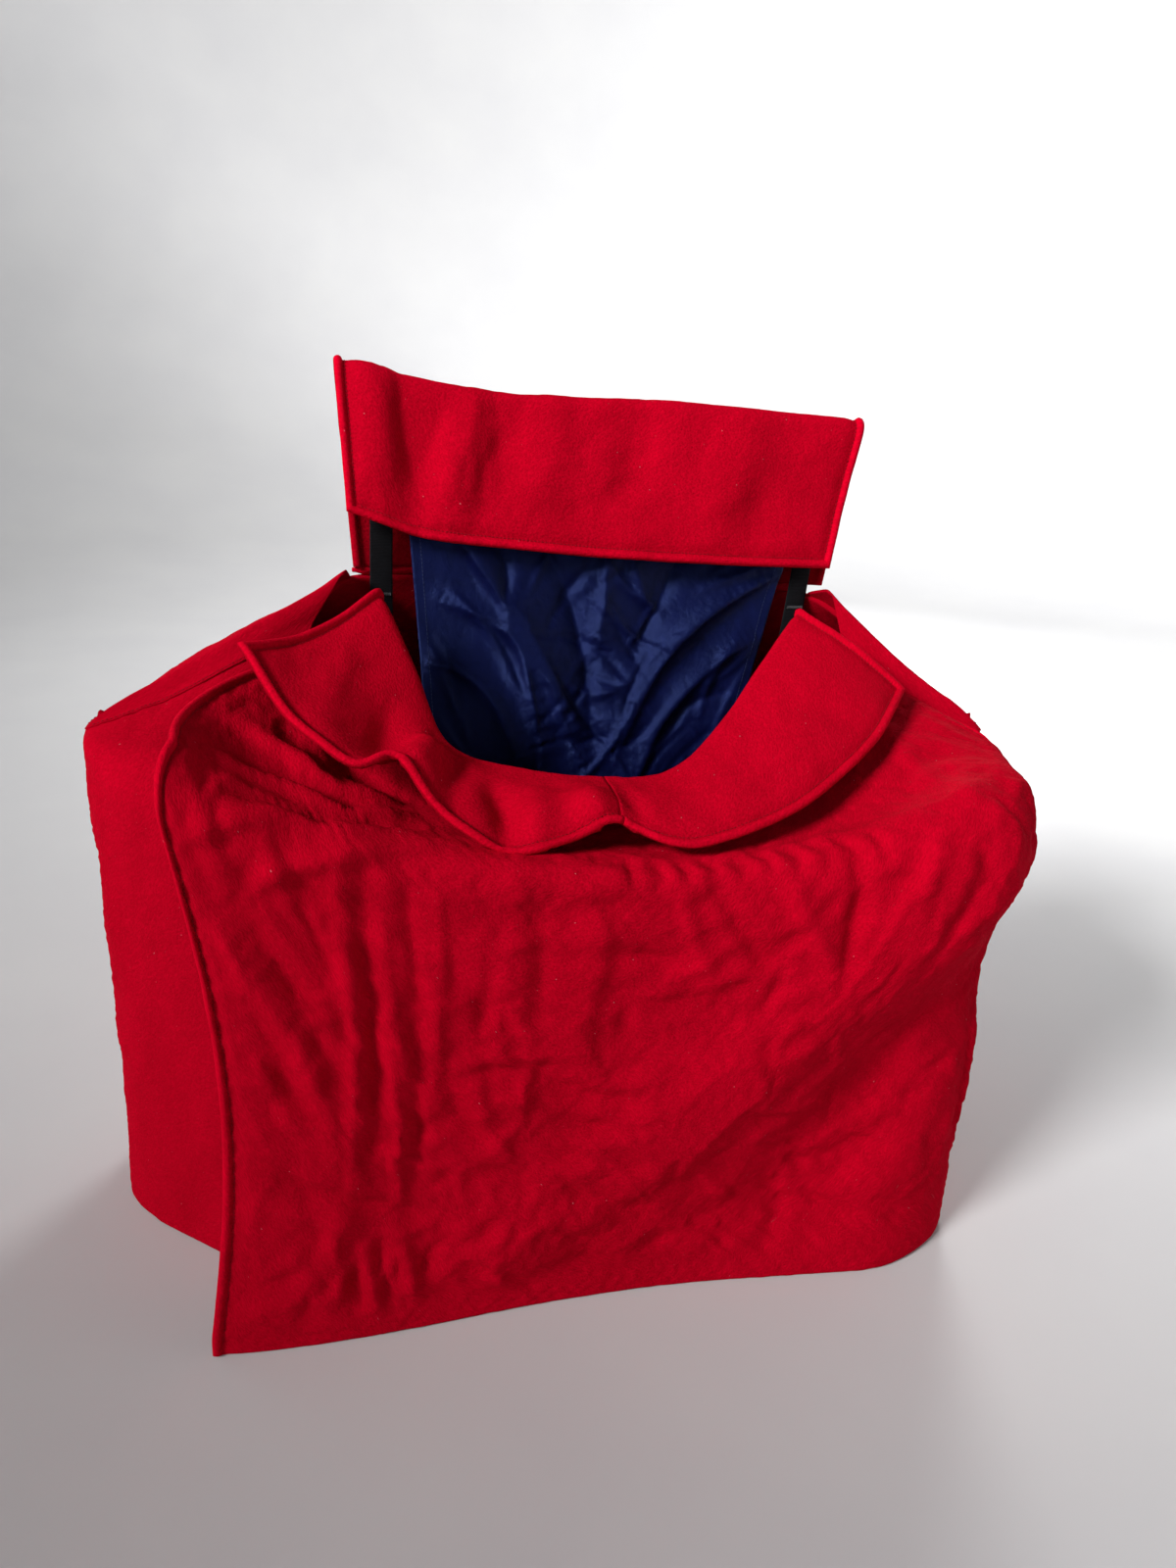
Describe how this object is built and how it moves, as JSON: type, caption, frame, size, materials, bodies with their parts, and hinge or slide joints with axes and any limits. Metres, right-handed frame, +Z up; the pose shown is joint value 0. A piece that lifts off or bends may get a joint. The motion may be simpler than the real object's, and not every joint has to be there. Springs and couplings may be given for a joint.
{
  "type": "wearable fire blanket",
  "caption": "Padded red fleece fire blanket in two hanging panels, with a deep folding collar, piped edges and a hung navy nylon liner.",
  "frame": {"origin": "on the floor, under the middle of the overall box", "axes": "+Z up, +X across the width (to the right seen from the front), -Y to the front"},
  "size_m": [1, 0.4625, 0.934],
  "materials": {
    "fleece": "short-nap polar fleece, red, matt",
    "fleece_facing": "short-nap polar fleece, darker red, matt",
    "piping": "turned and edge-stitched fleece bead, matt",
    "wadding": "undyed fibre wadding",
    "interlining": "stiff non-woven interlining",
    "nylon": "thin crisp navy nylon, low sheen",
    "webbing": "flat black woven tape",
    "thread": "grey sewing thread, dense bar tack"
  },
  "bodies": {
    "back": {"back_collar_facing": "fleece_facing", "back_collar_interlining": "interlining", "back_collar_piping_left": "piping", "back_collar_piping_right": "piping", "back_collar_stand": "fleece", "back_facing": "fleece_facing", "back_hem_binding": "piping", "back_shell": "fleece", "back_wadding": "wadding", "back_wing_piping_left": "piping", "back_wing_piping_right": "piping", "bar_tack_left_lower": "thread", "bar_tack_left_upper": "thread", "bar_tack_right_lower": "thread", "bar_tack_right_upper": "thread", "liner_header_tape": "webbing", "liner_hem_tape": "nylon", "liner_panel": "nylon", "neck_tape": "webbing", "shoulder_piping_left": "piping", "shoulder_piping_right": "piping", "side_tape_left": "webbing", "side_tape_right": "webbing"},
    "back_fall": {"back_fall_facing": "fleece_facing", "back_fall_interlining": "interlining", "back_fall_piping": "piping", "back_fall_shell": "fleece"},
    "collar_left": {"collar_left_facing": "fleece_facing", "collar_left_piping": "piping", "collar_left_shell": "fleece"},
    "front": {"collar_middle_facing": "fleece_facing", "collar_middle_piping": "piping", "collar_middle_shell": "fleece", "front_collar_stand": "fleece", "front_collar_stand_facing": "fleece_facing", "front_facing": "fleece_facing", "front_hem_binding": "piping", "front_piping_left": "piping", "front_piping_right": "piping", "front_shell": "fleece", "front_wadding": "wadding"},
    "collar_right": {"collar_right_facing": "fleece_facing", "collar_right_piping": "piping", "collar_right_shell": "fleece"}
  },
  "joints": [
    {"name": "front_lift", "type": "hinge", "parent": "back", "child": "front", "pos_m": [0.041, 0.11025, 0.705], "axis": [-1, 0, 0], "range_deg": [0, 45]},
    {"name": "back_fall_fold", "type": "hinge", "parent": "back", "child": "back_fall", "pos_m": [0.055, 0.16025, 0.911], "axis": [-0.9989, 0, 0.0458], "range_deg": [0, 150]},
    {"name": "collar_left_fold", "type": "hinge", "parent": "front", "child": "collar_left", "pos_m": [-0.205, 0.09025, 0.7], "axis": [-0.2932, 0.6956, 0.6558], "range_deg": [0, 80]},
    {"name": "collar_right_fold", "type": "hinge", "parent": "front", "child": "collar_right", "pos_m": [0.272, 0.09025, 0.685], "axis": [-0.6362, -0.6025, -0.482], "range_deg": [0, 80]}
  ]
}
